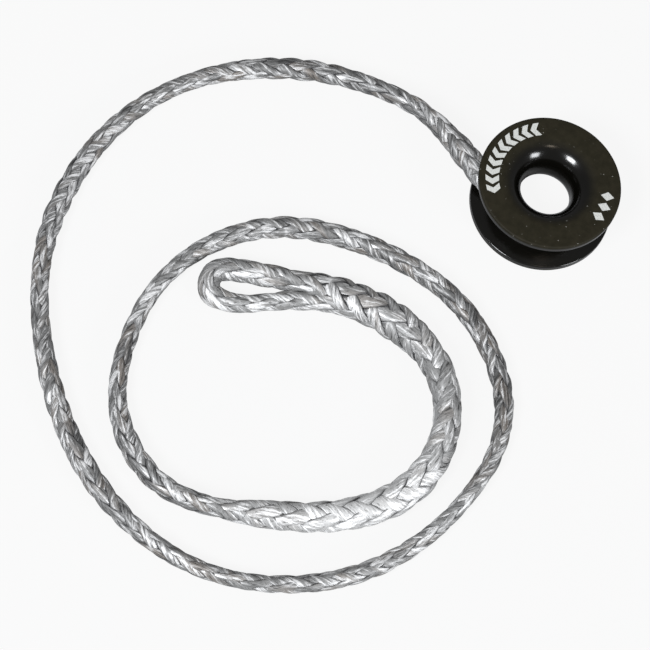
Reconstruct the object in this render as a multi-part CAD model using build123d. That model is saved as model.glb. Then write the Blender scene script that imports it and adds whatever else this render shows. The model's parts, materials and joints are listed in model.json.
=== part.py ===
"""Thimble eye: a flanged low-friction ring held in the spliced eye of a braided rope lanyard.

The origin is on the ring's axis at its bottom face, and +Z is that axis. The ring and the whole
lanyard lie on the plane z = 0. Everything is in millimetres.

The lanyard is one rope. It is made here as stretches that meet face to face: the eye in the
ring's groove, the short splice beside it, the standing part, the long splice at the far end and
the far eye. Each splice is a hollow cover with the rope's own buried tail inside it.
"""

from build123d import *

import math
import os

# ---- Ring ----
ring_diameter = 25.0
ring_height = 9.6
bore_radius = 4.5
bore_land = 1.0  # straight wall at the middle of the bore, between its two rounded lips
rim_round = 0.4
groove_bottom_radius = 6.3
groove_mouth = 6.8  # groove's width at the rim
mouth_round = 0.25

# ---- Rope ----
rope_diameter = 3.6
seat_clearance = 0.15  # rope to the groove's bottom
side_clearance = 0.3  # groove's round bottom over the rope's radius
throat_standoff = 2.0  # where the two legs of the ring's eye meet, past the rim

# ---- Splices ----
ring_splice_diameter = 4.7
end_splice_diameter = 5.2
ring_splice_wall = 0.8
end_splice_wall = 1.05
splice_margin = 0.4  # the ring's splice starts this far ahead of where its two legs part
leg_margin = 0.48  # gap from the ring's splice to the end of the leg that joins it
tail_cap = 2.0  # solid rope between a tail's cut end and the standing part

# ---- Heights that follow from the sizes above ----
rope_radius = rope_diameter / 2
ring_splice_radius = ring_splice_diameter / 2
end_splice_radius = end_splice_diameter / 2
groove_height = ring_height / 2
eye_radius = groove_bottom_radius + seat_clearance + rope_radius


def lying(points, top):
    """Route points in 3-D: each is (x, y, lift), where lift 0 lies on z = 0 and 1 is at top."""
    return [Vector(x, y, rope_radius + lift * (top - rope_radius)) for x, y, lift in points]


# ---- Route of the rope: the corners of its path, in order, from the ring to the far eye ----
leaving_ring = lying(
    [
        (-18.5, 12.5, 1.0),
        (-28.0, 19.5, 0.55),
        (-41.5, 23.5, 0.15),
    ],
    groove_height,
)
outer_turn = lying(
    [
        (-57.0, 22.0, 0.0),
        (-70.5, 15.0, 0.0),
        (-81.5, 2.0, 0.0),
        (-87.5, -17.0, 0.0),
        (-84.5, -40.5, 0.0),
        (-74.5, -60.0, 0.0),
        (-57.5, -72.0, 0.0),
        (-35.5, -72.0, 0.0),
        (-18.0, -61.5, 0.0),
        (-5.5, -42.5, 0.0),
        (-11.5, -22.0, 0.0),
        (-28.5, -9.5, 0.0),
        (-48.5, -6.5, 0.0),
        (-66.5, -17.0, 0.0),
        (-74.0, -37.0, 0.0),
        (-71.0, -50.5, 0.4),
        (-62.0, -58.5, 1.0),
    ],
    end_splice_radius,
)
buried_turn = lying(
    [
        (-43.0, -61.0, 1.0),
        (-31.5, -59.3, 1.0),
        (-23.5, -55.0, 1.0),
        (-18.3, -47.5, 1.0),
        (-17.0, -38.5, 1.0),
        (-20.0, -30.0, 1.0),
    ],
    end_splice_radius,
)
upper_leg = lying(
    [
        (-28.5, -21.5, 1.0),
        (-38.0, -17.3, 0.6),
        (-46.0, -16.3, 0.3),
        (-51.5, -15.8, 0.0),
    ],
    end_splice_radius,
)
fold = lying(
    [
        (-56.0, -16.0, 0.0),
        (-58.1, -17.9, 0.0),
        (-58.1, -20.7, 0.0),
        (-56.1, -22.6, 0.0),
    ],
    end_splice_radius,
)
lower_leg = lying(
    [
        (-51.5, -23.0, 0.0),
        (-46.0, -22.2, 0.3),
        (-39.5, -21.9, 0.6),
        (-23.5, -26.5, 1.0),
    ],
    end_splice_radius,
)

# Where one stretch hands over to the next, as a share of the run that they have in common.
ring_splice_end = 0.5
end_splice_start = 0.55
thick_end = 0.5
upper_leg_start = 0.5
lower_leg_stop = 0.3


def along(start, end, share):
    """The point that lies a share of the way from start to end."""
    return start + (end - start) * share


def corner_radii(points):
    """Each corner's arc: 0.45 of its shorter run, over the tangent of half the turn."""
    radii = []
    for before, corner, after in zip(points, points[1:], points[2:]):
        shorter = min((corner - before).length, (after - corner).length)
        half_turn = math.radians((corner - before).get_angle(after - corner)) / 2
        radii.append(0.45 * shorter / math.tan(half_turn))
    return radii


def path_of(points, radii):
    """Straight runs through the points, joined by tangent arcs."""
    if len(points) == 2:
        return Wire([Edge.make_line(points[0], points[1])])
    return FilletPolyline(*points, radius=radii).wire()


def tube(path, radius):
    """A round tube of that radius along a path."""
    start = Plane(origin=path @ 0, z_dir=path % 0)
    return sweep(start * Circle(radius), path=path)


def told(name, solid, path, radius, radii):
    """Prints a tube's arcs, and its volume beside its section times its length."""
    ideal = math.pi * radius**2 * path.length
    print(f"{name}: length {path.length:.1f}, volume {solid.volume:.1f}, ideal {ideal:.1f}")
    print("  arc radii", [round(value, 1) for value in radii])


def make_ring():
    """A turned ring: rounded lips round the bore, and a rope groove between two flanges."""
    outer = ring_diameter / 2
    lip = (ring_height - bore_land) / 2
    blank = Pos((bore_radius + outer) / 2, groove_height) * Rectangle(
        outer - bore_radius, ring_height
    )
    inner_corners = blank.vertices().filter_by(lambda vertex: vertex.X < outer - rim_round)
    section = fillet(inner_corners, lip)
    outer_corners = section.vertices().filter_by(lambda vertex: vertex.X > outer - 1e-6)
    section = fillet(outer_corners, rim_round)

    # The groove: a round bottom, and flat sides from it to the mouth that touch it tangentially.
    bottom = rope_radius + side_clearance
    bottom_centre = groove_bottom_radius + bottom
    to_mouth = Vector(outer - bottom_centre, groove_mouth / 2)
    touch = math.atan2(to_mouth.Y, to_mouth.X) + math.acos(bottom / to_mouth.length)
    touch_x = bottom_centre + bottom * math.cos(touch)
    touch_y = bottom * math.sin(touch)
    past = 1.0  # the cut runs this far past the rim
    side_slope = (groove_mouth / 2 - touch_y) / (outer - touch_x)
    mouth_y = groove_mouth / 2 + past * side_slope
    sides = make_face(
        Polyline(
            (touch_x, -touch_y),
            (outer + past, -mouth_y),
            (outer + past, mouth_y),
            (touch_x, touch_y),
            close=True,
        )
    )
    groove = Pos(0, groove_height) * (sides + Pos(bottom_centre, 0) * Circle(bottom))
    section -= groove
    mouth_corners = section.vertices().filter_by(
        lambda vertex: vertex.X > outer - 1e-6
        and abs(abs(vertex.Y - groove_height) - groove_mouth / 2) < 1e-3
    )
    section = fillet(mouth_corners, mouth_round)
    return revolve(Plane.XZ * section, Axis.Z)


# ---- The ring's eye: one leg runs straight on into the rope, the other joins it at the throat ----
first_corner = leaving_ring[0]
reach = math.hypot(first_corner.X, first_corner.Y)
straight_angle = math.atan2(first_corner.Y, first_corner.X) + math.acos(eye_radius / reach)
away = Vector(math.sin(straight_angle), -math.cos(straight_angle), 0)
centre = Vector(0, 0, groove_height)
straight_touch = centre + Vector(math.cos(straight_angle), math.sin(straight_angle), 0) * eye_radius
throat_radius = ring_diameter / 2 + throat_standoff
throat = straight_touch + away * math.sqrt(throat_radius**2 - eye_radius**2)
throat_angle = math.atan2(throat.Y, throat.X)
joining_angle = throat_angle - math.acos(eye_radius / throat_radius)
joining_touch = centre + Vector(math.cos(joining_angle), math.sin(joining_angle), 0) * eye_radius

# The legs meet at this angle, which sets how far ahead of the throat they part from each other.
crotch_angle = 2 * math.asin(eye_radius / throat_radius)
splice_lead = rope_radius / math.tan(crotch_angle / 2) + splice_margin
leg_reach = ring_splice_radius + rope_radius * math.cos(crotch_angle) + leg_margin
joining_end = throat + (joining_touch - throat).normalized() * leg_reach / math.sin(crotch_angle)
wrap = 360 - math.degrees(straight_angle - joining_angle) % 360

ring_splice_route = [
    throat - away * splice_lead,
    first_corner,
    along(leaving_ring[0], leaving_ring[1], ring_splice_end),
]
standing_route = [
    ring_splice_route[-1],
    *leaving_ring[1:],
    *outer_turn,
    along(outer_turn[-1], buried_turn[0], end_splice_start),
]
end_splice_route = [
    standing_route[-1],
    *buried_turn,
    along(buried_turn[-1], upper_leg[0], thick_end),
]
end_eye_route = [
    along(upper_leg[0], upper_leg[1], upper_leg_start),
    *upper_leg[1:],
    *fold,
    *lower_leg[:-1],
    along(lower_leg[-2], lower_leg[-1], lower_leg_stop),
]


def make_ring_eye():
    """The rope round the groove: straight leg, wrap, and the leg that joins at the throat."""
    path = Wire(
        [
            Edge.make_line(ring_splice_route[0], straight_touch),
            CenterArc(centre, eye_radius, math.degrees(straight_angle), wrap).edge(),
            Edge.make_line(joining_touch, joining_end),
        ]
    )
    solid = tube(path, rope_radius)
    told("ring_eye", solid, path, rope_radius, [eye_radius])
    return solid


def make_ring_splice():
    """The swollen rope beside the ring, with the joining leg's stub, and the tail inside it."""
    radii = corner_radii(ring_splice_route)
    path = path_of(ring_splice_route, radii)
    stub = tube(path_of([joining_end, throat], []), rope_radius)
    tail_end = ring_splice_route[-1]
    last_run = tail_end - first_corner
    tail_route = [throat, first_corner, tail_end - last_run.normalized() * tail_cap]
    tail_path = path_of(tail_route, radii)
    tail = tube(tail_path, ring_splice_radius - ring_splice_wall)
    cover = tube(path, ring_splice_radius) + stub - tail
    told("ring_splice_cover", tube(path, ring_splice_radius), path, ring_splice_radius, radii)
    return cover, tail


def make_standing_part():
    """The plain rope between the two splices."""
    radii = corner_radii(standing_route)
    path = path_of(standing_route, radii)
    solid = tube(path, rope_radius)
    told("standing_part", solid, path, rope_radius, radii)
    return solid


def make_end_splice():
    """The long swollen stretch at the far end, with both legs' stubs, and the tail inside it."""
    radii = corner_radii(end_splice_route)
    path = path_of(end_splice_route, radii)
    thick = tube(path, end_splice_radius)
    told("end_splice_cover", thick, path, end_splice_radius, radii)

    stub_route = [end_splice_route[-1], upper_leg[0], end_eye_route[0]]
    upper_stub = tube(path_of(stub_route, corner_radii(stub_route)), rope_radius)
    lower_stub = tube(path_of([end_eye_route[-1], lower_leg[-1]], []), rope_radius)

    first_run = end_splice_route[1] - end_splice_route[0]
    last_run = end_splice_route[-1] - end_splice_route[-2]
    tail_route = [
        end_splice_route[0] + first_run.normalized() * tail_cap,
        *buried_turn,
        end_splice_route[-1] - last_run.normalized() * tail_cap,
    ]
    tail = tube(path_of(tail_route, radii), end_splice_radius - end_splice_wall)
    return thick + upper_stub + lower_stub - tail, tail


def make_end_eye():
    """The bare loop of rope past the far splice, folded flat."""
    radii = corner_radii(end_eye_route)
    path = path_of(end_eye_route, radii)
    solid = tube(path, rope_radius)
    told("end_eye", solid, path, rope_radius, radii)
    return solid


def main():
    """Makes every node and writes one STEP file for each."""
    ring_splice_cover, ring_splice_tail = make_ring_splice()
    end_splice_cover, end_splice_tail = make_end_splice()
    nodes = {
        "ring": make_ring(),
        "ring_eye": make_ring_eye(),
        "ring_splice_cover": ring_splice_cover,
        "ring_splice_tail": ring_splice_tail,
        "standing_part": make_standing_part(),
        "end_splice_cover": end_splice_cover,
        "end_splice_tail": end_splice_tail,
        "end_eye": make_end_eye(),
    }
    os.makedirs("parts", exist_ok=True)
    for name, solid in nodes.items():
        export_step(solid, f"parts/{name}.step")


main()
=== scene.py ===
"""The looks of a thimble eye: a black flanged ring held in the spliced eye of a braided rope lanyard.

The ring is a turned section with lasered marks. The lanyard is one rope of twelve strands, made as
the stretches that it has on the bench: the eye in the ring's groove, the short splice beside it,
the standing part, the long splice and the far eye, with the rope's buried tails in both splices.
Lengths are in metres unless a name says otherwise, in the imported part's own frame.
"""

import json
import logging
import math
from dataclasses import dataclass, field
from enum import Enum
from typing import Any, ClassVar, Iterable, Sequence

import bmesh
import bpy
import numpy as np
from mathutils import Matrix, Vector


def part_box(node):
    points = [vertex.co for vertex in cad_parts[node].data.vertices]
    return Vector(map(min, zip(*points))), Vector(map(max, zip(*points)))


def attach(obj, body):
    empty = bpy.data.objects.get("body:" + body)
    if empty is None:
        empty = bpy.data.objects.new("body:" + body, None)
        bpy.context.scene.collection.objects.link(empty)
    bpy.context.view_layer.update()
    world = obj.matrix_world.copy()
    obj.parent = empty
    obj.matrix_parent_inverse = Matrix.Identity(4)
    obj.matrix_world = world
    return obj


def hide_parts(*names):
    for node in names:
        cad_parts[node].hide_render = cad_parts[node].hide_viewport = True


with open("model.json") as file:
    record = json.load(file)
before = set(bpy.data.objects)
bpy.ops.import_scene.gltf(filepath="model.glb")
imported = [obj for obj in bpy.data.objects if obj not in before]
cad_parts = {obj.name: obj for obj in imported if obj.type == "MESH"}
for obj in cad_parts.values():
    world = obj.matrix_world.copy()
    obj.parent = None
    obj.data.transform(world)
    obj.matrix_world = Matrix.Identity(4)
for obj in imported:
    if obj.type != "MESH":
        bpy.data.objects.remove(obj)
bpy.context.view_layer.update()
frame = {"record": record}

log = logging.getLogger("thimble_eye")

MM = 0.001
FULL_TURN = 2 * math.pi
Point = tuple[float, float, float]
Colour = tuple[float, float, float]
Range = tuple[float, ...]  # where a step starts and ends, then its two values if not 0 and 1


class Body(Enum):
    """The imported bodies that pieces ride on."""

    ROPE = "rope"
    RING = "ring"


class Slot(Enum):
    """The record's material slots."""

    ANODISED = "anodised_ring"
    ROPE = "rope"
    TAIL = "rope_tail"


# ---------------------------------------------------------------------------------------------
# Node trees
# ---------------------------------------------------------------------------------------------


class Wire:
    """One output socket, with arithmetic that adds Math nodes to its tree."""

    def __init__(self, graph: "Graph", socket: bpy.types.NodeSocket | None) -> None:
        """Wraps a socket of a graph's tree, or nothing where a node has no output."""
        self.graph = graph
        self.socket = socket

    def other(self, name: str) -> "Wire":
        """Another output of the same node, by its name."""
        return Wire(self.graph, self.socket.node.outputs[name])

    def __add__(self, value: Any) -> "Wire":
        """This plus a value."""
        return self.graph.math("ADD", self, value)

    def __radd__(self, value: Any) -> "Wire":
        """A value plus this."""
        return self.graph.math("ADD", value, self)

    def __sub__(self, value: Any) -> "Wire":
        """This less a value."""
        return self.graph.math("SUBTRACT", self, value)

    def __rsub__(self, value: Any) -> "Wire":
        """A value less this."""
        return self.graph.math("SUBTRACT", value, self)

    def __mul__(self, value: Any) -> "Wire":
        """This times a value."""
        return self.graph.math("MULTIPLY", self, value)

    def __rmul__(self, value: Any) -> "Wire":
        """A value times this."""
        return self.graph.math("MULTIPLY", value, self)

    def __truediv__(self, value: Any) -> "Wire":
        """This over a value."""
        return self.graph.math("DIVIDE", self, value)

    def __gt__(self, value: Any) -> "Wire":
        """1 where this is the greater, and 0 elsewhere."""
        return self.graph.math("GREATER_THAN", self, value)

    def __pow__(self, value: Any) -> "Wire":
        """This to a power."""
        return self.graph.math("POWER", self, value)


class Graph:
    """Adds nodes to one node tree."""

    def __init__(self, tree: bpy.types.NodeTree) -> None:
        """Takes the tree that the nodes go into."""
        self.tree = tree

    def add(
        self,
        kind: str,
        settings: dict[str, Any] | None = None,
        sockets: dict[str | int, Any] | None = None,
        out: str | int = 0,
    ) -> Wire:
        """Adds one node.

        Args:
            kind: the node's type.
            settings: the node's own properties.
            sockets: each input's value or Wire, by its name, identifier or index.
            out: which output to give back.

        Returns:
            The output asked for.
        """
        node = self.tree.nodes.new(kind)
        for name, value in (settings or {}).items():
            setattr(node, name, value)
        by_identifier = {socket.identifier: socket for socket in node.inputs}
        for key, value in (sockets or {}).items():
            target = by_identifier.get(key) or node.inputs[key]
            if isinstance(value, Wire):
                self.tree.links.new(value.socket, target)
            else:
                target.default_value = value
        return Wire(self, node.outputs[out] if node.outputs else None)

    def math(self, operation: str, *values: Any) -> Wire:
        """A Math node on one to three values."""
        return self.add("ShaderNodeMath", {"operation": operation}, dict(enumerate(values)))

    def sine(self, angle: Wire) -> Wire:
        """The sine of an angle."""
        return self.math("SINE", angle)

    def cosine(self, angle: Wire) -> Wire:
        """The cosine of an angle."""
        return self.math("COSINE", angle)

    def vector(self, operation: str, *values: Any) -> Wire:
        """A Vector Math node on vectors."""
        return self.add("ShaderNodeVectorMath", {"operation": operation}, dict(enumerate(values)))

    def scaled(self, vector: Wire, factor: Any) -> Wire:
        """A vector times a number."""
        sockets = {"Vector": vector, "Scale": factor}
        return self.add("ShaderNodeVectorMath", {"operation": "SCALE"}, sockets)

    def ramp(self, value: Any, low: float, high: float, start: float = 0.0, end: float = 1.0) -> Wire:
        """A smooth step from start to end while value goes from low to high."""
        sockets = {"Value": value, "From Min": low, "From Max": high, "To Min": start, "To Max": end}
        return self.add("ShaderNodeMapRange", {"interpolation_type": "SMOOTHSTEP"}, sockets)

    def mixed(self, factor: Any, first: Any, second: Any) -> Wire:
        """Mixes two colours.

        Args:
            factor: how much of the second there is.
            first: the colour at factor 0, as a Wire or three numbers.
            second: the colour at factor 1, as a Wire or three numbers.

        Returns:
            The mixed colour.
        """
        first, second = (each if isinstance(each, Wire) else (*each, 1) for each in (first, second))
        sockets = {"Factor_Float": factor, "A_Color": first, "B_Color": second}
        node = self.add("ShaderNodeMix", {"data_type": "RGBA"}, sockets).socket.node
        return Wire(self, next(s for s in node.outputs if s.identifier == "Result_Color"))

    def noise(self, place: Wire, scale: float, detail: float = 2.0, rough: float = 0.5) -> Wire:
        """Noise from 0 to 1 at a place."""
        sockets = {"Vector": place, "Scale": scale, "Detail": detail, "Roughness": rough}
        return self.add("ShaderNodeTexNoise", {}, sockets)

    def combined(self, **parts: Any) -> Wire:
        """A vector from its X, Y and Z."""
        return self.add("ShaderNodeCombineXYZ", {}, parts)

    def bump(self, height: Wire, strength: float, distance: float) -> Wire:
        """A normal that stands for small relief."""
        sockets = {"Strength": strength, "Distance": distance, "Height": height}
        return self.add("ShaderNodeBump", {}, sockets)


class TreeGraph(Graph):
    """A geometry tree with named inputs, which ends as plain geometry in one finish."""

    def __init__(self, name: str, ports: dict[str, str], result: str) -> None:
        """Starts the tree.

        Args:
            name: the tree's name.
            ports: the name and type of each input, where the first is the geometry.
            result: the output's name.
        """
        super().__init__(bpy.data.node_groups.new(name, "GeometryNodeTree"))
        for port, kind in {**ports, "Finish": "NodeSocketMaterial"}.items():
            self.tree.interface.new_socket(port, in_out="INPUT", socket_type=kind)
        self.tree.interface.new_socket(result, in_out="OUTPUT", socket_type="NodeSocketGeometry")
        self.given = self.add("NodeGroupInput")

    def read(self, name: str, kind: str = "FLOAT") -> Wire:
        """A named attribute."""
        settings = {"data_type": kind}
        return self.add("GeometryNodeInputNamedAttribute", settings, {"Name": name})

    def keep(self, geometry: Wire, name: str, value: Wire, kind: str = "FLOAT") -> Wire:
        """The geometry, with a value stored on its points."""
        sockets = {"Geometry": geometry, "Name": name, "Value": value}
        return self.add("GeometryNodeStoreNamedAttribute", {"data_type": kind}, sockets)

    def finished(self, geometry: Wire) -> bpy.types.NodeTree:
        """Ends the tree.

        Args:
            geometry: what the tree has made.

        Returns:
            The tree, which gives that as plain geometry in the finish of its last input.
        """
        real = self.add("GeometryNodeRealizeInstances", {}, {"Geometry": geometry})
        sockets = {"Geometry": real, "Material": self.given.other("Finish")}
        self.add("NodeGroupOutput", {}, {0: self.add("GeometryNodeSetMaterial", {}, sockets)})
        return self.tree


@dataclass(frozen=True)
class Grain:
    """A noise pattern: how it is squeezed along each axis, its scale, detail and roughness."""

    scale: float
    detail: float = 1.0
    rough: float = 0.5
    squeeze: Point | None = None

    def on(self, graph: Graph, place: Wire) -> Wire:
        """The pattern's value, from 0 to 1, at a place."""
        if self.squeeze:
            place = graph.vector("MULTIPLY", place, self.squeeze)
        return graph.noise(place, self.scale, self.detail, self.rough)


def solved(obj: bpy.types.Object) -> bpy.types.Object:
    """Turns an object's modifiers into its own plain mesh, and removes them.

    Args:
        obj: the object with live modifiers.

    Returns:
        The same object, with the mesh that its modifiers made.
    """
    depsgraph = bpy.context.evaluated_depsgraph_get()
    mesh = bpy.data.meshes.new_from_object(
        obj.evaluated_get(depsgraph), preserve_all_data_layers=True, depsgraph=depsgraph
    )
    obj.modifiers.clear()
    obj.data = mesh
    mesh.name = obj.name
    return obj


def placed(name: str, data: bpy.types.ID) -> bpy.types.Object:
    """Puts a new object in the scene, at the origin.

    Args:
        name: the object's name.
        data: its mesh, curve, light or camera.

    Returns:
        The new object.
    """
    obj = bpy.data.objects.new(name, data)
    bpy.context.scene.collection.objects.link(obj)
    return obj


# ---------------------------------------------------------------------------------------------
# Finishes
# ---------------------------------------------------------------------------------------------


class Finish:
    """What every finish shares: a name, and a material that holds its surface."""

    name = "finish"

    def material(self) -> bpy.types.Material:
        """Builds the finish's material.

        Returns:
            A new material with the finish's surface.
        """
        material = bpy.data.materials.new(self.name)
        material.use_nodes = True
        material.node_tree.nodes.clear()
        graph = Graph(material.node_tree)
        surface = self.surface(graph)
        graph.add("ShaderNodeOutputMaterial", {}, {"Surface": surface})
        return material

    def surface(self, graph: Graph) -> Wire:
        """Adds the finish's nodes.

        Args:
            graph: the material's tree.

        Returns:
            The surface.
        """
        raise NotImplementedError


@dataclass(frozen=True)
class BraidFinish(Finish):
    """Coated, glossy filaments laid along each strand, with painted shade in the pits between strands
    and where a strand dips under the others.
    """

    name: str = "silver_grey_braid"
    dark: Colour = (0.014, 0.014, 0.014)
    grey: Colour = (0.06, 0.06, 0.0595)
    pale: Colour = (0.33, 0.33, 0.33)
    warm: Colour = (0.076, 0.063, 0.052)
    # painted shade: the colour of the pits between strands and of a strand's underside
    pit_shade: Colour = (0.003, 0.003, 0.004)
    # colours for the rope's paleness, which holds its stretch and also painted highlight and shade
    # along the rope
    stretched: Colour = (0.3, 0.3, 0.298)
    bleached: Colour = (0.58, 0.58, 0.58)
    metallic: float = 0.15
    coat: float = 0.12
    coat_roughness: float = 0.28
    bump_strength: float = 0.55
    bump_distance: float = 0.06 * MM
    streaks: Grain = Grain(2.6, 3.0, 0.65, (0.11, 1.0, 1.0))
    filaments: Grain = Grain(7.0, 2.0, 0.6, (0.2, 1.0, 1.0))
    tones: Grain = Grain(1.0, squeeze=(0.16, 0.35, 0.35))
    tints: Grain = Grain(1.0, squeeze=(0.05, 0.3, 0.3))
    tone_share: float = 0.3
    shade_share: float = 0.13
    stretch_share: float = 0.1
    warm_range: Range = (0.5, 0.66, 0.0, 0.85)
    lit_range: Range = (0.48, 0.66)
    dark_range: Range = (0.46, 0.28)
    between_range: Range = (0.46, 0.34, 0.0, 0.6)  # the dark lines between filaments
    pit_shade_range: Range = (0.88, 0.6)
    rough_range: Range = (0.35, 0.65, 0.4, 0.62)

    def surface(self, graph: Graph) -> Wire:
        """Adds the filaments' streaks, the strands' tones and the painted shade in the pits.

        Args:
            graph: the material's tree.

        Returns:
            The surface.
        """
        fibre = graph.add("ShaderNodeAttribute", {"attribute_name": "fibre"}, out="Vector")
        crown = graph.add("ShaderNodeAttribute", {"attribute_name": "crown"}, out="Fac")
        shade = graph.add("ShaderNodeAttribute", {"attribute_name": "shade"}, out="Fac")
        # The rope's paleness: the braid's stretch in the splices, and painted highlight and shade
        # along the rope.
        stretch = graph.add("ShaderNodeAttribute", {"attribute_name": "pale"}, out="Fac")
        streak = self.streaks.on(graph, fibre)
        fine = self.filaments.on(graph, fibre)
        tone = self.tones.on(graph, fibre)
        tint = self.tints.on(graph, fibre)

        light = streak + (tone - 0.5) * self.tone_share + (shade - 0.5) * self.shade_share
        body = graph.mixed(graph.ramp(tint, *self.warm_range), self.grey, self.warm)
        body = graph.mixed(stretch, body, self.stretched)
        pale = graph.mixed(stretch, self.pale, self.bleached)
        lit = graph.mixed(graph.ramp(light, *self.lit_range), body, pale)
        darker = graph.ramp(light + stretch * self.stretch_share, *self.dark_range)
        shaded = graph.mixed(darker, lit, self.dark)
        fibred = graph.mixed(graph.ramp(fine, *self.between_range), shaded, self.dark)
        height = streak * 0.5 + fine * 0.5
        sockets = {
            # Painted shade: the pit colour darkens each strand's sides and underside and where it dips
            # under the others.
            "Base Color": graph.mixed(graph.ramp(crown, *self.pit_shade_range), fibred, self.pit_shade),
            "Metallic": self.metallic,
            "Roughness": graph.ramp(fine, *self.rough_range),
            "Coat Weight": self.coat,
            "Coat Roughness": self.coat_roughness,
            "Normal": graph.bump(height, self.bump_strength, self.bump_distance),
        }
        return graph.add("ShaderNodeBsdfPrincipled", {}, sockets)


@dataclass(frozen=True)
class AnodisedFinish(Finish):
    """Black hard-anodised aluminium: satin turned flats, and a polished throat and groove."""

    name: str = "black_anodised"
    black: Colour = (0.0012, 0.0011, 0.0008)
    umber: Colour = (0.0075, 0.0066, 0.0036)
    brown: Colour = (0.0105, 0.0091, 0.0052)
    dust: Colour = (0.09, 0.088, 0.08)
    flat_roughness: float = 0.62
    flat_ior: float = 1.16
    polish: float = 0.16
    polish_ior: float = 1.34
    flat_radii: Range = (6.2 * MM, 8.7 * MM)  # the throat turns into the flange between these
    flat_heights: Range = (3.7 * MM, 4.75 * MM)  # from the middle, up the throat to the flat
    middle: float = 4.8 * MM
    turning: Grain = Grain(9000.0, 2.0, 0.6)
    clouds: Grain = Grain(900.0, 3.0, 0.55)
    grains: Grain = Grain(9000.0, 2.0)
    specks: Grain = Grain(2600.0, 0.0)
    speck_range: Range = (0.8, 0.84)
    cloud_range: Range = (0.3, 0.7)
    turning_share: float = 0.6
    turned_unevenness: float = 0.08
    clouded_unevenness: float = 0.06
    bump_strength: float = 0.25
    bump_distance: float = 0.012 * MM

    def surface(self, graph: Graph) -> Wire:
        """Adds the turning marks and the change from flats to polished throat.

        Args:
            graph: the material's tree.

        Returns:
            The surface.
        """
        place = graph.add("ShaderNodeTexCoord", {}, out="Object")
        split = graph.add("ShaderNodeSeparateXYZ", {}, {"Vector": place}, out="X")
        x, y, z = split, split.other("Y"), split.other("Z")
        radius = graph.math("SQRT", x * x + y * y)
        height = graph.math("ABSOLUTE", z - self.middle)
        flat = graph.ramp(radius, *self.flat_radii) * graph.ramp(height, *self.flat_heights)
        turning = self.turning.on(graph, graph.combined(X=radius, Y=height))
        cloud = self.clouds.on(graph, place)
        grain = self.grains.on(graph, place)
        speck = graph.ramp(self.specks.on(graph, place), *self.speck_range)
        worn = graph.mixed(graph.ramp(cloud, *self.cloud_range), self.umber, self.brown)
        uneven = (turning - 0.5) * self.turned_unevenness + (cloud - 0.5) * self.clouded_unevenness
        relief = (turning * self.turning_share + grain * (1 - self.turning_share)) * flat
        bump = graph.bump(relief, self.bump_strength, self.bump_distance)
        satin_sockets = {
            "Base Color": graph.mixed(speck, worn, self.dust),
            "IOR": self.flat_ior,
            "Roughness": self.flat_roughness + uneven,
            "Normal": bump,
        }
        satin = graph.add("ShaderNodeBsdfPrincipled", {}, satin_sockets)
        polished_sockets = {
            "Base Color": (*self.black, 1),
            "IOR": self.polish_ior,
            "Roughness": self.polish + uneven,
            "Normal": bump,
        }
        polished = graph.add("ShaderNodeBsdfPrincipled", {}, polished_sockets)
        return graph.add("ShaderNodeMixShader", {}, {0: flat, 1: polished, 2: satin})


@dataclass(frozen=True)
class MarkFinish(Finish):
    """Lasered marks: a chalky white with worn, speckled patches."""

    name: str = "lasered_white"
    white: Colour = (0.3, 0.305, 0.29)
    worn: Colour = (0.17, 0.17, 0.16)
    roughness: float = 0.7
    speckle: Grain = Grain(5200.0, 3.0, 0.6)
    worn_range: Range = (0.52, 0.36, 0.0, 0.8)

    def surface(self, graph: Graph) -> Wire:
        """Adds the speckle.

        Args:
            graph: the material's tree.

        Returns:
            The surface.
        """
        place = graph.add("ShaderNodeTexCoord", {}, out="Object")
        worn = graph.ramp(self.speckle.on(graph, place), *self.worn_range)
        colour = graph.mixed(worn, self.white, self.worn)
        sockets = {"Base Color": colour, "Roughness": self.roughness, "Metallic": 0.0}
        return graph.add("ShaderNodeBsdfPrincipled", {}, sockets)


@dataclass(frozen=True)
class TableFinish(Finish):
    """A plain pale table, bright enough to be seen as white, that throws little light back up."""

    name: str = "pale_table"
    seen: Colour = (0.97, 0.97, 0.97)
    lit: Colour = (0.3, 0.3, 0.3)
    glow: float = 0.93

    def surface(self, graph: Graph) -> Wire:
        """Adds the table as it is seen, and as it lights what stands on it.

        Args:
            graph: the material's tree.

        Returns:
            The surface.
        """
        sight = graph.add("ShaderNodeLightPath", {}, out="Is Camera Ray")
        glow = graph.add("ShaderNodeEmission", {}, {"Color": (*self.seen, 1), "Strength": 1.0})
        cloth = graph.add("ShaderNodeBsdfDiffuse", {}, {"Color": (*self.lit, 1)})
        return graph.add("ShaderNodeMixShader", {}, {0: sight * self.glow, 1: cloth, 2: glow})


# ---------------------------------------------------------------------------------------------
# The ring
# ---------------------------------------------------------------------------------------------


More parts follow.
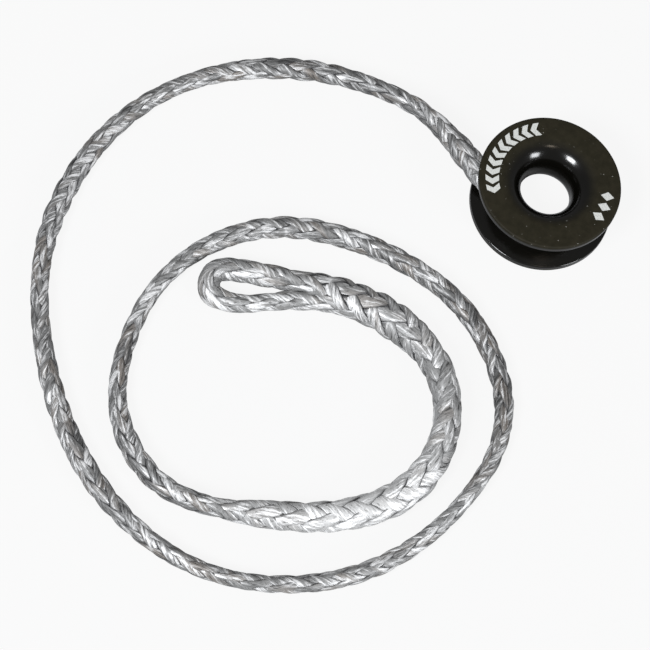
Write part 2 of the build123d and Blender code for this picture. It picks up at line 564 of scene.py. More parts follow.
@dataclass
class Ring:
    """The turned ring: one closed section, spun round the axis, with marks on its top flange."""

    rim_round: float = 0.4 * MM
    mouth: float = 6.8 * MM
    mouth_round: float = 0.25 * MM
    groove_round: float = 2.1 * MM
    groove_bottom: float = 6.3 * MM
    bore_land: float = 1.0 * MM
    arc_step: float = math.radians(4.5)
    spokes: int = 224
    weld: float = 0.001 * MM  # points closer than this are one
    mark_inner: float = 9.0 * MM
    mark_outer: float = 11.35 * MM
    mark_height: float = 0.02 * MM
    chevron_half: float = 0.9 * MM
    chevron_tip: float = 0.75 * MM
    lozenge_half: float = 0.85 * MM
    chevrons: tuple[float, float, int] = (103.5, 190.5, 10)  # first and last angle, and how many
    lozenges: tuple[float, float, int] = (-36.0, -12.0, 3)

    def __post_init__(self) -> None:
        """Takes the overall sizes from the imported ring."""
        low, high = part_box("ring")
        self.radius = (high.x - low.x) / 2
        self.height = high.z - low.z
        bore = next(mount for mount in frame["record"]["mounts"] if mount["name"] == "bore")
        self.bore_radius = bore["dims"]["r_mm"] * MM

    def corners(self) -> list[tuple[float, float, float]]:
        """Works out the section's corners.

        Returns:
            Each corner's radius, height and rounding, anticlockwise from the bore.
        """
        middle = self.height / 2
        centre = self.groove_bottom + self.groove_round
        reach = math.hypot(self.radius - centre, self.mouth / 2)
        touch = math.atan2(self.mouth / 2, self.radius - centre) + math.acos(self.groove_round / reach)
        apex = centre - self.groove_round / math.sin(touch - math.pi / 2)
        lip = (self.height - self.bore_land) / 2
        return [
            (self.bore_radius, 0.0, lip),
            (self.radius, 0.0, self.rim_round),
            (self.radius, middle - self.mouth / 2, self.mouth_round),
            (apex, middle, self.groove_round),
            (self.radius, middle + self.mouth / 2, self.mouth_round),
            (self.radius, self.height, self.rim_round),
            (self.bore_radius, self.height, lip),
        ]

    def section(self) -> list[tuple[float, float]]:
        """Draws the section, with an arc at each corner.

        Returns:
            The outline's points, as (radius, height).
        """
        corners = self.corners()
        outline: list[tuple[float, float]] = []
        for index, (x, y, rounding) in enumerate(corners):
            corner = Vector((x, y))
            back = (Vector(corners[index - 1][:2]) - corner).normalized()
            ahead = (Vector(corners[(index + 1) % len(corners)][:2]) - corner).normalized()
            half = back.angle(ahead) / 2
            centre = corner + (back + ahead).normalized() * (rounding / math.sin(half))
            start = corner + back * (rounding / math.tan(half)) - centre
            turn = (math.pi - 2 * half) * (1 if back.cross(ahead) < 0 else -1)
            steps = max(3, round(abs(turn) / self.arc_step))
            for step in range(steps + 1):
                angle = math.atan2(start.y, start.x) + turn * step / steps
                outline.append(
                    (centre.x + rounding * math.cos(angle), centre.y + rounding * math.sin(angle))
                )
        return outline

    def body(self, finish: Finish) -> bpy.types.Object:
        """Spins the section into the ring.

        Args:
            finish: the ring's finish.

        Returns:
            The ring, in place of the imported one.
        """
        outline = self.section()
        mesh = bpy.data.meshes.new("turned_ring")
        build = bmesh.new()
        hoops = []
        for spoke in range(self.spokes):
            angle = FULL_TURN * spoke / self.spokes
            hoops.append(
                [build.verts.new((r * math.cos(angle), r * math.sin(angle), z)) for r, z in outline]
            )
        count = len(outline)
        for hoop, following in zip(hoops, hoops[1:] + hoops[:1]):
            for index in range(count):
                after = (index + 1) % count
                build.faces.new((hoop[index], following[index], following[after], hoop[after]))
        bmesh.ops.remove_doubles(build, verts=build.verts[:], dist=self.weld)
        bmesh.ops.recalc_face_normals(build, faces=build.faces[:])
        build.to_mesh(mesh)
        build.free()
        mesh.shade_smooth()
        mesh.materials.append(finish.material())
        ring = placed("turned_ring", mesh)
        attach(ring, Body.RING.value)
        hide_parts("ring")
        return ring

    def chevron(self) -> bpy.types.Mesh:
        """Makes one bold chevron that points along the arc.

        Returns:
            A plate on the top face, at angle zero.
        """
        middle = (self.mark_inner + self.mark_outer) / 2
        deep, tip = self.chevron_half, self.chevron_tip
        outline = [
            (self.mark_inner, -deep), (middle, -deep + tip), (self.mark_outer, -deep),
            (self.mark_outer, deep - tip), (middle, deep), (self.mark_inner, deep - tip),
        ]
        return self._plate("chevron", outline)

    def lozenge(self) -> bpy.types.Mesh:
        """Makes one lozenge.

        Returns:
            A plate on the top face, at angle zero.
        """
        middle = (self.mark_inner + self.mark_outer) / 2
        half = self.lozenge_half
        outline = [
            (self.mark_inner, 0.0), (middle, -half), (self.mark_outer, 0.0), (middle, half),
        ]
        return self._plate("lozenge", outline)

    def _plate(self, name: str, outline: Iterable[tuple[float, float]]) -> bpy.types.Mesh:
        """Makes a thin closed plate, set into the top face and standing just proud of it.

        Args:
            name: the mesh's name.
            outline: the plate's corners, seen from above.

        Returns:
            The plate.
        """
        mesh = bpy.data.meshes.new(name)
        build = bmesh.new()
        top = self.height + self.mark_height
        low = self.height - self.mark_height
        upper = [build.verts.new((x, y, top)) for x, y in outline]
        lower = [build.verts.new((x, y, low)) for x, y in outline]
        build.faces.new(upper)
        build.faces.new(lower[::-1])
        for index in range(len(upper)):
            after = (index + 1) % len(upper)
            build.faces.new((upper[index], lower[index], lower[after], upper[after]))
        bmesh.ops.recalc_face_normals(build, faces=build.faces[:])
        build.to_mesh(mesh)
        build.free()
        return mesh

    @staticmethod
    def _dial_tree() -> bpy.types.NodeTree:
        """Builds a tree that repeats a shape round the axis, from a first angle in even steps.

        Returns:
            The tree.
        """
        ports = {
            "Shape": "NodeSocketGeometry",
            "Count": "NodeSocketInt",
            "First Angle": "NodeSocketFloat",
            "Step": "NodeSocketFloat",
        }
        graph = TreeGraph("repeat_round_axis", ports, "Marks")
        given = graph.given
        shape = graph.add("GeometryNodeGeometryToInstance", {}, {"Geometry": given})
        line = {"Count": given.other("Count"), "Offset": (0, 0, 0)}
        stops = graph.add("GeometryNodeMeshLine", {}, line)
        number = graph.add("GeometryNodeInputIndex")
        turn = graph.combined(Z=given.other("First Angle") + number * given.other("Step"))
        sockets = {"Points": stops, "Instance": shape, "Rotation": turn}
        return graph.finished(graph.add("GeometryNodeInstanceOnPoints", {}, sockets))

    def marks(self, finish: Finish) -> list[bpy.types.Object]:
        """Puts the lasered marks on the top flange.

        Args:
            finish: the marks' finish.

        Returns:
            The long row of chevrons and the short row of lozenges.
        """
        tree = self._dial_tree()
        material = finish.material()
        made = []
        rows = (
            ("chevron_marks", self.chevron(), self.chevrons),
            ("lozenge_marks", self.lozenge(), self.lozenges),
        )
        for name, mesh, (first, last, count) in rows:
            row = placed(name, mesh)
            values = {
                "Count": count,
                "First Angle": math.radians(first),
                "Step": math.radians(last - first) / (count - 1),
                "Finish": material,
            }
            run_tree(row, tree, values)
            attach(row, Body.RING.value)
            made.append(row)
        return made


def run_tree(obj: bpy.types.Object, tree: bpy.types.NodeTree, values: dict[str, Any]) -> None:
    """Runs a geometry tree on an object and keeps the plain mesh.

    Args:
        obj: the object that the tree reads.
        tree: the geometry tree.
        values: the tree's named inputs.
    """
    modifier = obj.modifiers.new("tree", "NODES")
    modifier.node_group = tree
    for item in tree.interface.items_tree:
        if item.in_out == "INPUT" and item.name in values:
            modifier[item.identifier] = values[item.name]
    solved(obj)


# ---------------------------------------------------------------------------------------------
# The rope
# ---------------------------------------------------------------------------------------------

# The rope's route, from inside the ring's groove to where its far eye goes back into the splice.
ROPE_ROUTE: list[Point] = [
    (-0.0114, 0.0032, 0.0048), (-0.0182, 0.0131, 0.0046), (-0.0280, 0.0193, 0.00345),
    (-0.0415, 0.0231, 0.00225), (-0.0568, 0.0216, 0.0018), (-0.0702, 0.0146, 0.0018),
    (-0.0811, 0.0018, 0.0018), (-0.0875, -0.0170, 0.0018), (-0.0845, -0.0405, 0.0018),
    (-0.0745, -0.0600, 0.0018), (-0.0575, -0.0720, 0.0018), (-0.0355, -0.0720, 0.0018),
    (-0.0180, -0.0615, 0.0018), (-0.0055, -0.0425, 0.0018), (-0.0115, -0.0220, 0.0018),
    (-0.0288, -0.0101, 0.0018), (-0.0485, -0.0065, 0.0018), (-0.0665, -0.0170, 0.0018),
    (-0.0740, -0.0370, 0.0018), (-0.0710, -0.0505, 0.0021), (-0.0623, -0.0590, 0.0026),
    (-0.0430, -0.0610, 0.0026), (-0.0315, -0.0593, 0.0026), (-0.0235, -0.0550, 0.0026),
    (-0.0183, -0.0475, 0.0026), (-0.0170, -0.0385, 0.0026), (-0.0200, -0.0300, 0.0026),
    (-0.0274, -0.0236, 0.0028), (-0.0339, -0.0209, 0.0026), (-0.0385, -0.0185, 0.0022),
    (-0.0460, -0.0176, 0.0021), (-0.0515, -0.0168, 0.0021), (-0.0562, -0.0164, 0.0021),
    (-0.0579, -0.0181, 0.0021), (-0.0581, -0.0208, 0.0020), (-0.0562, -0.0223, 0.0018),
    (-0.0515, -0.0227, 0.0018), (-0.0460, -0.0216, 0.0018), (-0.0400, -0.0211, 0.0018),
    (-0.0350, -0.0218, 0.0020), (-0.0305, -0.0237, 0.0022), (-0.0250, -0.0259, 0.0024),
]


@dataclass
class Profile:
    """A value that changes smoothly along the rope: (distance in mm, value) pairs."""

    stops: list[tuple[float, float]]

    def at(self, distance: np.ndarray) -> np.ndarray:
        """Reads the profile, eased between its stops.

        Args:
            distance: places along the rope, in millimetres.

        Returns:
            The value at each place.
        """
        places = np.array([place for place, _ in self.stops])
        values = np.array([value for _, value in self.stops])
        index = np.clip(np.searchsorted(places, distance) - 1, 0, len(places) - 2)
        share = np.clip((distance - places[index]) / (places[index + 1] - places[index]), 0, 1)
        eased = share * share * (3 - 2 * share)
        return values[index] + (values[index + 1] - values[index]) * eased


@dataclass
class Line:
    """Points along a rope's middle, with the distance to each in millimetres."""

    points: np.ndarray
    distance: np.ndarray
    fineness: ClassVar[int] = 48  # points read from each span of the spline

    @staticmethod
    def through(route: Sequence[Point], step: float) -> "Line":
        """Reads a smooth line from a NURBS spline.

        Args:
            route: the spline's control points.
            step: the spacing of the points read, in metres.

        Returns:
            Evenly spaced points along the spline.
        """
        curve = bpy.data.curves.new("route", "CURVE")
        curve.dimensions = "3D"
        spline = curve.splines.new("NURBS")
        spline.points.add(len(route) - 1)
        for control, place in zip(spline.points, route):
            control.co = (*place, 1.0)
        spline.order_u = 3
        spline.use_endpoint_u = True
        spline.resolution_u = Line.fineness
        obj = placed("route", curve)
        mesh = bpy.data.meshes.new_from_object(obj)
        read = np.array([vertex.co[:] for vertex in mesh.vertices])
        bpy.data.objects.remove(obj)
        bpy.data.meshes.remove(mesh)
        bpy.data.curves.remove(curve)
        run = np.concatenate([[0.0], np.cumsum(np.linalg.norm(np.diff(read, axis=0), axis=1))])
        even = np.linspace(0.0, run[-1], max(2, round(run[-1] / step)) + 1)
        points = np.column_stack([np.interp(even, run, read[:, axis]) for axis in range(3)])
        return Line(points, even / MM)

    def nearest(self, place: tuple[float, float]) -> int:
        """The index of the point nearest to a place seen from above."""
        return int(np.argmin(np.hypot(*(self.points[:, :2] - np.array(place)).T)))

    def part(self, start: int, stop: int) -> "Line":
        """The stretch from one index to another, both kept."""
        return Line(self.points[start : stop + 1], self.distance[start : stop + 1])

    @property
    def length(self) -> float:
        """The line's length in metres."""
        return float(np.linalg.norm(np.diff(self.points, axis=0), axis=1).sum())


@dataclass
class Braid:
    """A twelve-strand hollow braid, laid along a line by a geometry tree.

    Six strands wind each way. Each goes over two and under two of the others, in columns that run
    along the rope.
    """

    strands_each_way: int = 6
    columns: int = 3
    lean: float = math.radians(45)
    sides: int = 11
    fill: float = 0.6  # a strand's half width, as a share of the space that it has
    relief: float = 0.43  # how far strands go in and out, as a share of half their thickness
    flatness: float = 0.62  # below 1, a strand's crown is flatter than an ellipse
    filament_turn: float = 14.0  # mm along a strand in which its filaments wind round it once
    squareness: float = 0.5  # how much longer a strand stays over or under than a sine wave does
    crown_swell: float = 0.12  # how much thicker a strand is where it lies over
    wander: float = 0.16  # radians by which a strand strays from its even place
    wander_rate: float = 0.16  # how often it strays, for each mm along the rope
    swell: float = 0.25  # how much a strand's width varies
    swell_scale: float = 1.7  # how often that is, beside its straying
    number_apart: float = 7.3  # keeps one strand's noise away from the next one's
    fibre_apart: float = 61.7  # keeps one strand's streaks away from the next one's
    fibre_girth: float = 0.8  # the streaks' size round a strand, beside their length
    leaf_offset: float = 0.125  # puts the change of shade under a crossing
    proud_share: float = 0.8  # of what sets the painted pit shade: the section's part, less the wave's
    noise_place: float = 0.5  # the third coordinate at which the strands' noise is read
    leaf_place: float = 0.3  # and the one at which each leaf's shade is

    def tree(self) -> bpy.types.NodeTree:
        """Builds the tree that turns a line with the rope's measures into its strands.

        Returns:
            The tree.
        """
        ports = {
            "Line": "NodeSocketGeometry",
            "Strands Each Way": "NodeSocketInt",
            "Columns": "NodeSocketInt",
            "Lean": "NodeSocketFloat",
            "Sides": "NodeSocketInt",
            "Flatness": "NodeSocketFloat",
            "Filament Turn": "NodeSocketFloat",
        }
        graph = TreeGraph("twelve_strand_braid", ports, "Strands")
        strands = self._laid(graph, self._copied(graph))
        shaped, roundness, breadth = self._swept(graph, strands)
        shaped = self._labelled(graph, shaped, roundness, breadth)
        for spent in ("centre", "square", "level", "outward", "side", "up"):
            sockets = {"Geometry": shaped, "Name": spent}
            shaped = graph.add("GeometryNodeRemoveAttribute", {}, sockets)
        return graph.finished(graph.add("GeometryNodeSetShadeSmooth", {}, {"Geometry": shaped}))

    def inputs(self) -> dict[str, Any]:
        """The tree's inputs, by name, but for its line and its finish."""
        return {
            "Strands Each Way": self.strands_each_way,
            "Columns": self.columns,
            "Lean": self.lean,
            "Sides": self.sides,
            "Flatness": self.flatness,
            "Filament Turn": self.filament_turn,
        }

    @staticmethod
    def _copied(graph: TreeGraph) -> Wire:
        """Copies the line once for each strand.

        Args:
            graph: the braid's tree.

        Returns:
            The copies, each of which knows its number and its way round the rope.
        """
        each_way = graph.given.other("Strands Each Way")
        curve = graph.add("GeometryNodeMeshToCurve", {}, {"Mesh": graph.given})
        sockets = {"Geometry": curve, "Amount": each_way * 2}
        copies = graph.add("GeometryNodeDuplicateElements", {"domain": "SPLINE"}, sockets)
        number = copies.other("Duplicate Index")
        back = number > each_way - 0.5
        copies = graph.keep(copies, "number", number)
        return graph.keep(copies, "way", 1.0 - back * 2.0)

    def _strand_place(self, graph: TreeGraph) -> Wire:
        """Where a strand's noise is read, which is a line of its own for each strand."""
        along = graph.read("travel") * self.wander_rate
        strand = graph.read("number") * self.number_apart
        return graph.combined(X=along, Y=strand, Z=self.noise_place)

    def _laid(self, graph: TreeGraph, copies: Wire) -> Wire:
        """Winds the copies round the rope, over two and under two of the others.

        Args:
            graph: the braid's tree.
            copies: one line for each strand.

        Returns:
            Each strand's middle, with its shade and with its own axes at every point.
        """
        columns = graph.given.other("Columns")
        number, way = graph.read("number"), graph.read("way")
        stray = (graph.noise(self._strand_place(graph), 1.0, 1.0) - 0.5) * self.wander
        even = number * FULL_TURN / graph.given.other("Strands Each Way")
        angle = even + way * graph.read("phase") + stray

        # In and out: over two, then under two.
        wave = graph.sine(angle * columns - graph.given.other("Lean"))
        rise = way * wave * (1 + self.squareness - wave * wave * self.squareness)
        wide, tall, turn = graph.read("wide"), graph.read("tall"), graph.read("turn")
        reach = graph.read("girth") + rise * graph.read("wave")
        x = graph.cosine(angle) * reach * wide
        y = graph.sine(angle) * reach * tall
        across = x * graph.cosine(turn) - y * graph.sine(turn)
        above = x * graph.sine(turn) + y * graph.cosine(turn)
        side, up = graph.read("side", "FLOAT_VECTOR"), graph.read("up", "FLOAT_VECTOR")
        offset = graph.vector("ADD", graph.scaled(side, across), graph.scaled(up, above))
        laid = graph.add("GeometryNodeSetPosition", {}, {"Geometry": copies, "Offset": offset})
        laid = graph.keep(laid, "rise", rise)
        ease = (graph.sine(angle) * wide) ** 2.0 + (graph.cosine(angle) * tall) ** 2.0
        laid = graph.keep(laid, "ease", graph.math("SQRT", ease))

        # Each stretch of a strand that shows between two crossings has a shade of its own.
        crossing = graph.math("FLOOR", angle * columns / FULL_TURN + self.leaf_offset)
        leaf = {"Vector": graph.combined(X=crossing, Y=number, Z=self.leaf_place)}
        shade = graph.add("ShaderNodeTexWhiteNoise", {"noise_dimensions": "3D"}, leaf, out="Value")
        laid = graph.keep(laid, "shade", shade)

        # The strand's own axes: outwards from the rope, and across the strand.
        laid = graph.keep(laid, "outward", graph.vector("NORMALIZE", offset), "FLOAT_VECTOR")
        outward = graph.read("outward", "FLOAT_VECTOR")
        tangent = graph.add("GeometryNodeInputTangent")
        along = graph.vector("DOT_PRODUCT", outward, tangent).other("Value")
        square = graph.vector("SUBTRACT", outward, graph.scaled(tangent, along))
        square = graph.vector("NORMALIZE", square)
        axes = {
            "centre": graph.add("GeometryNodeInputPosition"),
            "square": square,
            "level": graph.vector("CROSS_PRODUCT", tangent, square),
        }
        for name, axis in axes.items():
            laid = graph.keep(laid, name, axis, "FLOAT_VECTOR")
        return laid

    def _swept(self, graph: TreeGraph, strands: Wire) -> tuple[Wire, Wire, Wire]:
        """Sweeps a flattened oval section along each strand, which hugs the rope.

        Args:
            graph: the braid's tree.
            strands: each strand's middle.

        Returns:
            The strands, the angle round the section and the section's half width.
        """
        sides = graph.given.other("Sides")
        circle = {"Resolution": sides, "Radius": 1.0}
        hoop = graph.add("GeometryNodeCurvePrimitiveCircle", {}, circle)
        corner = graph.add("GeometryNodeInputIndex")
        hoop = graph.keep(hoop, "round", corner * FULL_TURN / sides)
        sockets = {"Curve": strands, "Profile Curve": hoop, "Fill Caps": True}
        swept = graph.add("GeometryNodeCurveToMesh", {}, sockets)
        swell = graph.noise(self._strand_place(graph), self.swell_scale, 0.0) - 0.5
        ease = graph.read("ease")
        breadth = graph.read("breadth") * ease * (1.0 + swell * self.swell)
        depth = graph.read("depth") * (1.0 + graph.read("rise") * self.crown_swell)
        roundness = graph.read("round")
        lift = graph.sine(roundness)
        flatness = graph.given.other("Flatness")
        crown = graph.math("SIGN", lift) * graph.math("ABSOLUTE", lift) ** flatness
        spread = graph.cosine(roundness) * breadth
        oval = graph.read("wide") * graph.read("tall")
        bend = (graph.read("girth") + graph.read("wave")) * ease**3.0 / oval
        hug = spread * spread / (bend * 2.0)
        across = graph.scaled(graph.read("level", "FLOAT_VECTOR"), spread)
        out = graph.scaled(graph.read("square", "FLOAT_VECTOR"), crown * depth - hug)
        centre = graph.read("centre", "FLOAT_VECTOR")
        place = graph.vector("ADD", centre, graph.vector("ADD", across, out))
        shaped = graph.add("GeometryNodeSetPosition", {}, {"Geometry": swept, "Position": place})
        return shaped, roundness, breadth

    def _labelled(self, graph: TreeGraph, shaped: Wire, roundness: Wire, breadth: Wire) -> Wire:
        """Stores what the finish reads.

        Args:
            graph: the braid's tree.
            shaped: the strands.
            roundness: the angle round the section.
            breadth: the section's half width.

        Returns:
            The strands, with a place along and round each one and with how proud it stands.
        """
        travel = graph.read("travel")
        winding = roundness + travel * FULL_TURN / graph.given.other("Filament Turn")
        girth_mm = breadth * (self.fibre_girth / MM)
        fibre = graph.combined(
            X=travel + graph.read("number") * self.fibre_apart,
            Y=graph.cosine(winding) * girth_mm,
            Z=graph.sine(winding) * girth_mm,
        )
        shaped = graph.keep(shaped, "fibre", fibre, "FLOAT_VECTOR")
        # How proud the strand stands, which the finish turns into painted shade in the pits.
        share = self.proud_share
        section_part = graph.sine(roundness) * 0.5 + 0.5
        wave_part = graph.read("rise") * 0.5 + 0.5
        return graph.keep(shaped, "crown", section_part * share + wave_part * (1 - share))


@dataclass
class Lanyard:
    """The rope, from its eye round the ring to its far eye, in stretches that join end to end."""

    step: float = 0.5 * MM
    eye_radius: float = 8.1 * MM
    eye_middle: float = 4.8 * MM
    straight_angle: float = math.radians(201)
    joining_angle: float = math.radians(116)
    wrap_steps: int = 8
    joined_after: float = 1.0 * MM  # how far into the ring's splice the joining leg reaches
    ring_splice_end: tuple[float, float] = (-0.02325, 0.0160)
    end_splice_start: tuple[float, float] = (-0.05155, -0.05988)
    end_splice_end: tuple[float, float] = (-0.0236, -0.0258)
    tail_margin: int = 4  # how many points a tail stops short of its splice's ends
    oval_period: float = 50.0  # mm in which the oval section makes half a turn
    oval_from: float = 40.0  # mm from the ring at which it first lies flat
    clearance: float = 0.07 * MM  # between the lowest strands and the table
    ring_tail_scale: float = 0.5
    far_tail_scale: float = 0.6
    wound_range: tuple[float, float] = (-90.0, 540.0)  # mm over which the winding is added up
    wound_step: float = 0.5  # mm
    braid: Braid = field(default_factory=Braid)
    # Distances are in mm from the rope's start beside the ring. Radii are in mm.
    radius: Profile = field(default_factory=lambda: Profile([
        (-60, 1.66), (-7, 1.66), (0, 2.2), (5, 2.3), (10, 2.0), (15, 1.66), (24, 1.55),
        (45, 1.85), (62, 1.6), (94, 1.7), (106, 1.62), (125, 1.84), (140, 1.78), (155, 1.56),
        (180, 1.48), (228, 1.46), (240, 1.62), (255, 1.9), (285, 1.8), (300, 1.74), (315, 1.5),
        (335, 1.48), (346, 1.76), (364, 1.74), (373, 2.6), (425, 2.62), (431, 2.82), (441, 2.75),
        (450, 1.95), (457, 2.12), (468, 2.05), (478, 1.56), (486, 1.75), (520, 1.75),
    ]))
    pitch: Profile = field(default_factory=lambda: Profile([
        (-60, 26.0), (-4, 25.0), (4, 22.0), (18, 26.0), (362, 26.0), (374, 28.0), (405, 27.0),
        (418, 25.0), (436, 24.0), (452, 27.0), (470, 29.0), (520, 29.0),
    ]))
    wall: Profile = field(default_factory=lambda: Profile([
        (-60, 0.18), (0, 0.17), (16, 0.18), (362, 0.18), (374, 0.14), (441, 0.14), (452, 0.18),
        (520, 0.18),
    ]))
    # How far the section is from round: most where both legs of the far eye go into the splice.
    oval: Profile = field(default_factory=lambda: Profile([
        (0, 0.0), (12, 0.125), (420, 0.1), (434, 0.2), (444, 0.22), (454, 0.05), (520, 0.05),
    ]))
    # How pale the filaments are: 1 where the long splice stretches the braid most, and along the rope
    # also painted highlight, paler where its run catches the lights, and painted shade, darker where
    # it turns away.
    pale: Profile = field(default_factory=lambda: Profile([
        (-60, 0.1), (8, 0.15), (30, 0.05), (65, 0.12), (120, 0.08), (160, 0.1), (185, 0.25),
        (215, 0.25), (240, 0.0), (275, 0.1), (305, 0.25), (335, 0.08), (358, 0.1), (373, 0.6),
        (385, 1.0), (396, 0.85), (406, 0.42), (418, 0.32), (430, 0.35), (450, 0.3), (520, 0.4),
    ]))

    def wrap_route(self) -> list[Point]:
        """Lays the ring's eye: in at the throat, round the groove and out again.

        Returns:
            The eye's control points.
        """
        sweep = FULL_TURN - (self.straight_angle - self.joining_angle)
        turn = sweep / self.wrap_steps
        corner = self.eye_radius / math.cos(turn / 2)
        beside = self.eye_radius * math.tan(turn / 2)

        def on_circle(angle: float, radius: float, ahead: float = 0.0) -> Point:
            """A point at an angle and radius, and some way ahead along the tangent."""
            return (
                radius * math.cos(angle) - ahead * math.sin(angle),
                radius * math.sin(angle) + ahead * math.cos(angle),
                self.eye_middle,
            )

        start, stop = self.joining_angle, self.joining_angle - sweep
        away = (Vector(ROPE_ROUTE[1]) - Vector(ROPE_ROUTE[0])).normalized()
        joined = Vector(ROPE_ROUTE[0]) + away * self.joined_after
        corners = [
            on_circle(start - turn * (index + 0.5), corner) for index in range(self.wrap_steps)
        ]
        return [
            tuple(joined),
            on_circle(start, self.eye_radius, beside),
            *corners,
            on_circle(stop, self.eye_radius, -beside),
            ROPE_ROUTE[0],
        ]

    def measured(self, line: Line, radius_scale: float, round_section: bool) -> bpy.types.Mesh:
        """Writes the rope's measures onto a line, for the braid's tree to read.

        Args:
            line: the stretch's middle.
            radius_scale: the stretch's size beside the rope's own there.
            round_section: true where the rope isn't squashed oval.

        Returns:
            A mesh of points and edges with the measures as attributes.
        """
        travel = line.distance
        tangent = np.gradient(line.points, axis=0)
        tangent /= np.linalg.norm(tangent, axis=1)[:, None]
        side = np.cross([0.0, 0.0, 1.0], tangent)
        side /= np.linalg.norm(side, axis=1)[:, None]
        up = np.cross(tangent, side)
        radius = self.radius.at(travel) * radius_scale
        pitch = self.pitch.at(travel) * radius_scale
        depth = self.wall.at(travel) * radius
        wave = depth * self.braid.relief
        girth = radius - depth - wave
        phase = np.interp(travel, *self.phase_table()) / radius_scale
        squash = np.zeros_like(travel) if round_section else self.oval.at(travel)
        turn = math.pi * (travel - self.oval_from) / self.oval_period
        # The lowest point of the oval section may not go below the table.
        outer = radius + depth * self.braid.crown_swell
        half_height = outer * np.hypot((1 + squash) * np.sin(turn), (1 - squash) * np.cos(turn))
        points = line.points.copy()
        points[:, 2] = np.maximum(points[:, 2], half_height * MM + self.clearance)
        lean = np.arctan(FULL_TURN * (girth + wave) / pitch)
        space = pitch / self.braid.strands_each_way * np.sin(lean)
        measures = {
            "travel": travel,
            "phase": phase,
            "girth": girth * MM,
            "wave": wave * MM,
            "depth": depth * MM,
            "breadth": space * self.braid.fill * MM,
            "pale": self.pale.at(travel),
            "wide": 1 + squash,
            "tall": 1 - squash,
            "turn": turn,
        }
        mesh = bpy.data.meshes.new("line")
        edges = [(index, index + 1) for index in range(len(points) - 1)]
        mesh.from_pydata(points.tolist(), edges, [])
        for name, values in measures.items():
            layer = mesh.attributes.new(name, "FLOAT", "POINT")
            layer.data.foreach_set("value", values.astype(np.float32))
        for name, vectors in (("side", side), ("up", up)):
            layer = mesh.attributes.new(name, "FLOAT_VECTOR", "POINT")
            layer.data.foreach_set("vector", vectors.astype(np.float32).ravel())
        return mesh

    def phase_table(self) -> tuple[np.ndarray, np.ndarray]:
        """Adds up how far a strand has wound round the rope.

        Returns:
            Distances in mm along the rope, and the angle wound by each.
        """
        travel = np.arange(*self.wound_range, self.wound_step)
        rate = FULL_TURN / self.pitch.at(travel)
        wound = np.concatenate([[0.0], np.cumsum((rate[1:] + rate[:-1]) / 2 * np.diff(travel))])
        return travel, wound

    def stretch(
        self,
        name: str,
        line: Line,
        tree: bpy.types.NodeTree,
        material: bpy.types.Material,
        slot: Slot,
        node: str,
        scale: float = 1.0,
        round_section: bool = False,
    ) -> bpy.types.Object:
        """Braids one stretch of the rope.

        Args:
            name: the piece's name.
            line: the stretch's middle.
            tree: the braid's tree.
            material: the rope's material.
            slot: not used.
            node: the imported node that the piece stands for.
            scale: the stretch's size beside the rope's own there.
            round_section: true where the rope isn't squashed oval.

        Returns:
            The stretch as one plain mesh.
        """
        piece = placed(name, self.measured(line, scale, round_section))
        run_tree(piece, tree, {**self.braid.inputs(), "Finish": material})
        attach(piece, Body.ROPE.value)
        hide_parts(node)
        return piece

    def lines(self) -> dict[str, Line]:
        """Cuts the rope's route into its stretches.

        Returns:
            Each stretch's middle, by the stretch's name.
        """
        wrap = Line.through(self.wrap_route(), self.step)
        wrap.distance -= wrap.distance[-1]
        rope = Line.through(ROPE_ROUTE, self.step)
        ring_end = rope.nearest(self.ring_splice_end)
        bury_start = rope.nearest(self.end_splice_start)
        bury_end = rope.nearest(self.end_splice_end)
        last = len(rope.points) - 1
        margin = self.tail_margin
        return {
            "ring_eye": wrap,
            "ring_splice": rope.part(0, ring_end),
            "ring_tail": rope.part(margin, ring_end - margin),
            "standing": rope.part(ring_end, bury_start),
            "bury": rope.part(bury_start, bury_end),
            "far_tail": rope.part(bury_start + margin, bury_end - margin),
            "far_eye": rope.part(bury_end, last),
        }

    def build(self, finish: Finish) -> list[bpy.types.Object]:
        """Makes every stretch of the rope.

        Args:
            finish: the rope's finish.

        Returns:
            The rope's pieces.
        """
        tree, material = self.braid.tree(), finish.material()
        lines = self.lines()
        for name, line in lines.items():
            log.info("%s: %.1f mm", name, line.length / MM)

        def made(
            name: str, key: str, node: str, slot: Slot = Slot.ROPE, **more: Any
        ) -> bpy.types.Object:
            """One stretch, by the name of its line."""
            return self.stretch(name, lines[key], tree, material, slot, node, **more)

        ring_eye = made("braided_ring_eye", "ring_eye", "ring_eye", round_section=True)
        ring_splice = made("braided_ring_splice", "ring_splice", "ring_splice_cover")
        ring_tail = made(
            "buried_ring_tail", "ring_tail", "ring_splice_tail", Slot.TAIL, scale=self.ring_tail_scale
        )
        standing = made("braided_standing_part", "standing", "standing_part")
        bury = made("braided_end_splice", "bury", "end_splice_cover")
        far_tail = made(
            "buried_end_tail", "far_tail", "end_splice_tail", Slot.TAIL, scale=self.far_tail_scale
        )
        far_eye = made("braided_end_eye", "far_eye", "end_eye")

        return [ring_eye, ring_splice, ring_tail, standing, bury, far_tail, far_eye]


# ---------------------------------------------------------------------------------------------
# The studio
# ---------------------------------------------------------------------------------------------


@dataclass(frozen=True)
class Softbox:
    """A square soft light that looks at the ring: its direction, distance, size and power."""

    name: str
    towards: Point
    distance: float
    size: float
    power: float
    colour: Colour = (1.0, 1.0, 1.0)

    def build(self, target: Vector) -> bpy.types.Object:
        """Hangs the light and turns it to the target.

        Args:
            target: the place that the light looks at.

        Returns:
            The light.
        """
        light = bpy.data.lights.new(self.name, "AREA")
        light.shape = "SQUARE"
        light.size = self.size
        light.energy = self.power
        light.color = self.colour
        lamp = placed(self.name, light)
        direction = Vector(self.towards).normalized()
        lamp.location = target + direction * self.distance
        lamp.rotation_euler = direction.to_track_quat("Z", "Y").to_euler()
        return lamp


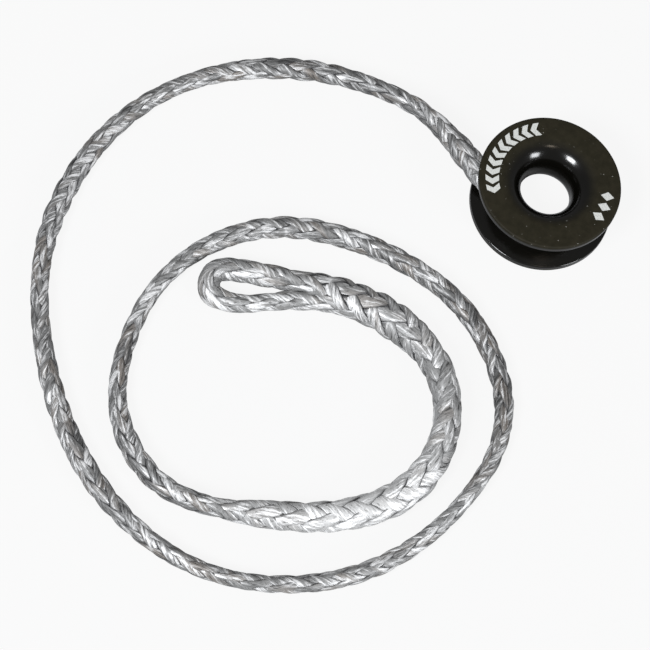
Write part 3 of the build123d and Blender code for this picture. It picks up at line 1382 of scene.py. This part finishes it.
@dataclass
class Studio:
    """The table, the soft lights and the camera."""

    table_size: float = 6.0
    ambient: Colour = (1.0, 1.0, 1.0)
    ambient_strength: float = 0.38
    camera_place: Point = (-0.10277, -0.2228, 0.46604)
    camera_turn_degrees: Point = (22.812, -7.932, 0.0)
    lens_mm: float = 166.15
    sensor_mm: float = 36.0
    clip_start: float = 0.01
    softboxes: tuple[Softbox, ...] = (
        Softbox("right_softbox", (0.642, -0.619, 0.452), 0.9, 0.27, 9.0, (0.95, 0.97, 1.0)),
        Softbox("left_softbox", (-0.525, -0.466, 0.712), 0.9, 0.27, 16.0, (0.95, 0.97, 1.0)),
        Softbox("top_lamp", (0.157, -0.335, 0.929), 1.1, 0.14, 0.7, (1.0, 0.86, 0.7)),
    )

    def table(self, finish: Finish) -> bpy.types.Object:
        """Lays the table under the part.

        Args:
            finish: the table's finish.

        Returns:
            The table.
        """
        mesh = bpy.data.meshes.new("table")
        half = self.table_size / 2
        corners = [(-half, -half, 0), (half, -half, 0), (half, half, 0), (-half, half, 0)]
        mesh.from_pydata(corners, [], [(0, 1, 2, 3)])
        mesh.materials.append(finish.material())
        table = placed("table", mesh)
        return table

    def lights(self) -> None:
        """Lights the room and hangs the softboxes."""
        world = bpy.data.worlds.new("room")
        world.use_nodes = True
        world.node_tree.nodes.clear()
        graph = Graph(world.node_tree)
        sockets = {"Color": (*self.ambient, 1), "Strength": self.ambient_strength}
        room = graph.add("ShaderNodeBackground", {}, sockets)
        graph.add("ShaderNodeOutputWorld", {}, {"Surface": room})
        bpy.context.scene.world = world
        low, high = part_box("ring")
        for softbox in self.softboxes:
            softbox.build((low + high) / 2)

    def camera(self) -> bpy.types.Object:
        """Sets the camera up.

        Returns:
            The camera.
        """
        data = bpy.data.cameras.new("camera")
        data.lens = self.lens_mm
        data.sensor_width = self.sensor_mm
        data.clip_start = self.clip_start
        camera = placed("camera", data)
        camera.location = self.camera_place
        camera.rotation_euler = [math.radians(turn) for turn in self.camera_turn_degrees]
        bpy.context.scene.camera = camera
        return camera


def main() -> None:
    """Builds the ring, the rope and the studio."""
    logging.basicConfig(level=logging.INFO, format="%(name)s: %(message)s")
    bpy.context.scene.view_settings.view_transform = "Standard"
    ring = Ring()
    pieces = [ring.body(AnodisedFinish()), *ring.marks(MarkFinish())]
    pieces += Lanyard().build(BraidFinish())
    for piece in pieces:
        log.info("%s: %d faces", piece.name, len(piece.data.polygons))
    studio = Studio()
    studio.table(TableFinish())
    studio.lights()
    studio.camera()


if __name__ == "__main__":
    main()
